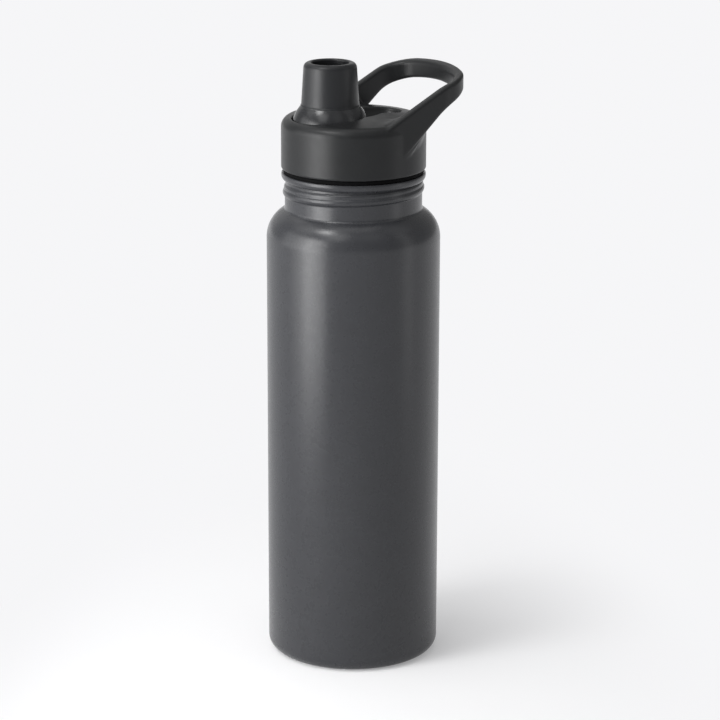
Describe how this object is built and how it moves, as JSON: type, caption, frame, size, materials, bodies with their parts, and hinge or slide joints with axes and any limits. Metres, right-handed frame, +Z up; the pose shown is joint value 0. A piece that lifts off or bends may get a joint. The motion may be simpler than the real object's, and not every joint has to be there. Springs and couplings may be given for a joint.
{
  "type": "insulated water bottle",
  "caption": "Insulated steel drinking bottle with a screw lid, a tilting spout that opens and shuts it, and a fixed carry loop.",
  "frame": {"origin": "on the bottle's axis, at the floor it stands on", "axes": "+Z up along the bottle's axis, +X towards the carry loop, the spout on the -X side of the lid"},
  "size_m": [0.081, 0.073, 0.2571],
  "materials": {
    "coated_steel": "matt dark grey powder coat",
    "bare_steel": "brushed stainless steel",
    "solder": "dull solder",
    "getter_metal": "pressed metal powder",
    "lid_plastic": "satin black plastic",
    "inner_plastic": "satin black plastic",
    "mouthpiece_plastic": "satin black plastic",
    "seal_rubber": "soft black silicone",
    "pin_steel": "drawn stainless steel"
  },
  "bodies": {
    "bottle": {"outer_shell": "coated_steel", "outer_base": "coated_steel", "base_cap": "coated_steel", "inner_vessel": "bare_steel", "inner_bottom": "bare_steel", "vacuum_seal": "solder", "getter": "getter_metal", "getter_dish": "bare_steel"},
    "gasket": {"lid_gasket": "seal_rubber"},
    "lid": {"lid_shell": "lid_plastic", "lid_base": "inner_plastic", "ball_cradle": "inner_plastic", "seat_seal": "seal_rubber", "pivot_pins": "pin_steel"},
    "spout": {"spout_ball": "lid_plastic", "mouthpiece": "mouthpiece_plastic"}
  },
  "joints": [
    {"name": "lid_lift", "type": "slide", "parent": "bottle", "child": "gasket", "axis": [0, 0, 1], "range_m": [0, 0.0133]},
    {"name": "lid_turn", "type": "hinge", "parent": "gasket", "child": "lid", "pos_m": [0, 0, 0.212], "axis": [0, 0, 1], "range_deg": [0, 1080]},
    {"name": "spout_tilt", "type": "hinge", "parent": "lid", "child": "spout", "pos_m": [-0.011, 0, 0.2282], "axis": [0, 1, 0], "range_deg": [0, 40]}
  ],
  "couplings": [
    {"joint": "lid_lift", "follows": "lid_turn", "m_per_rad": 0.00070028}
  ]
}
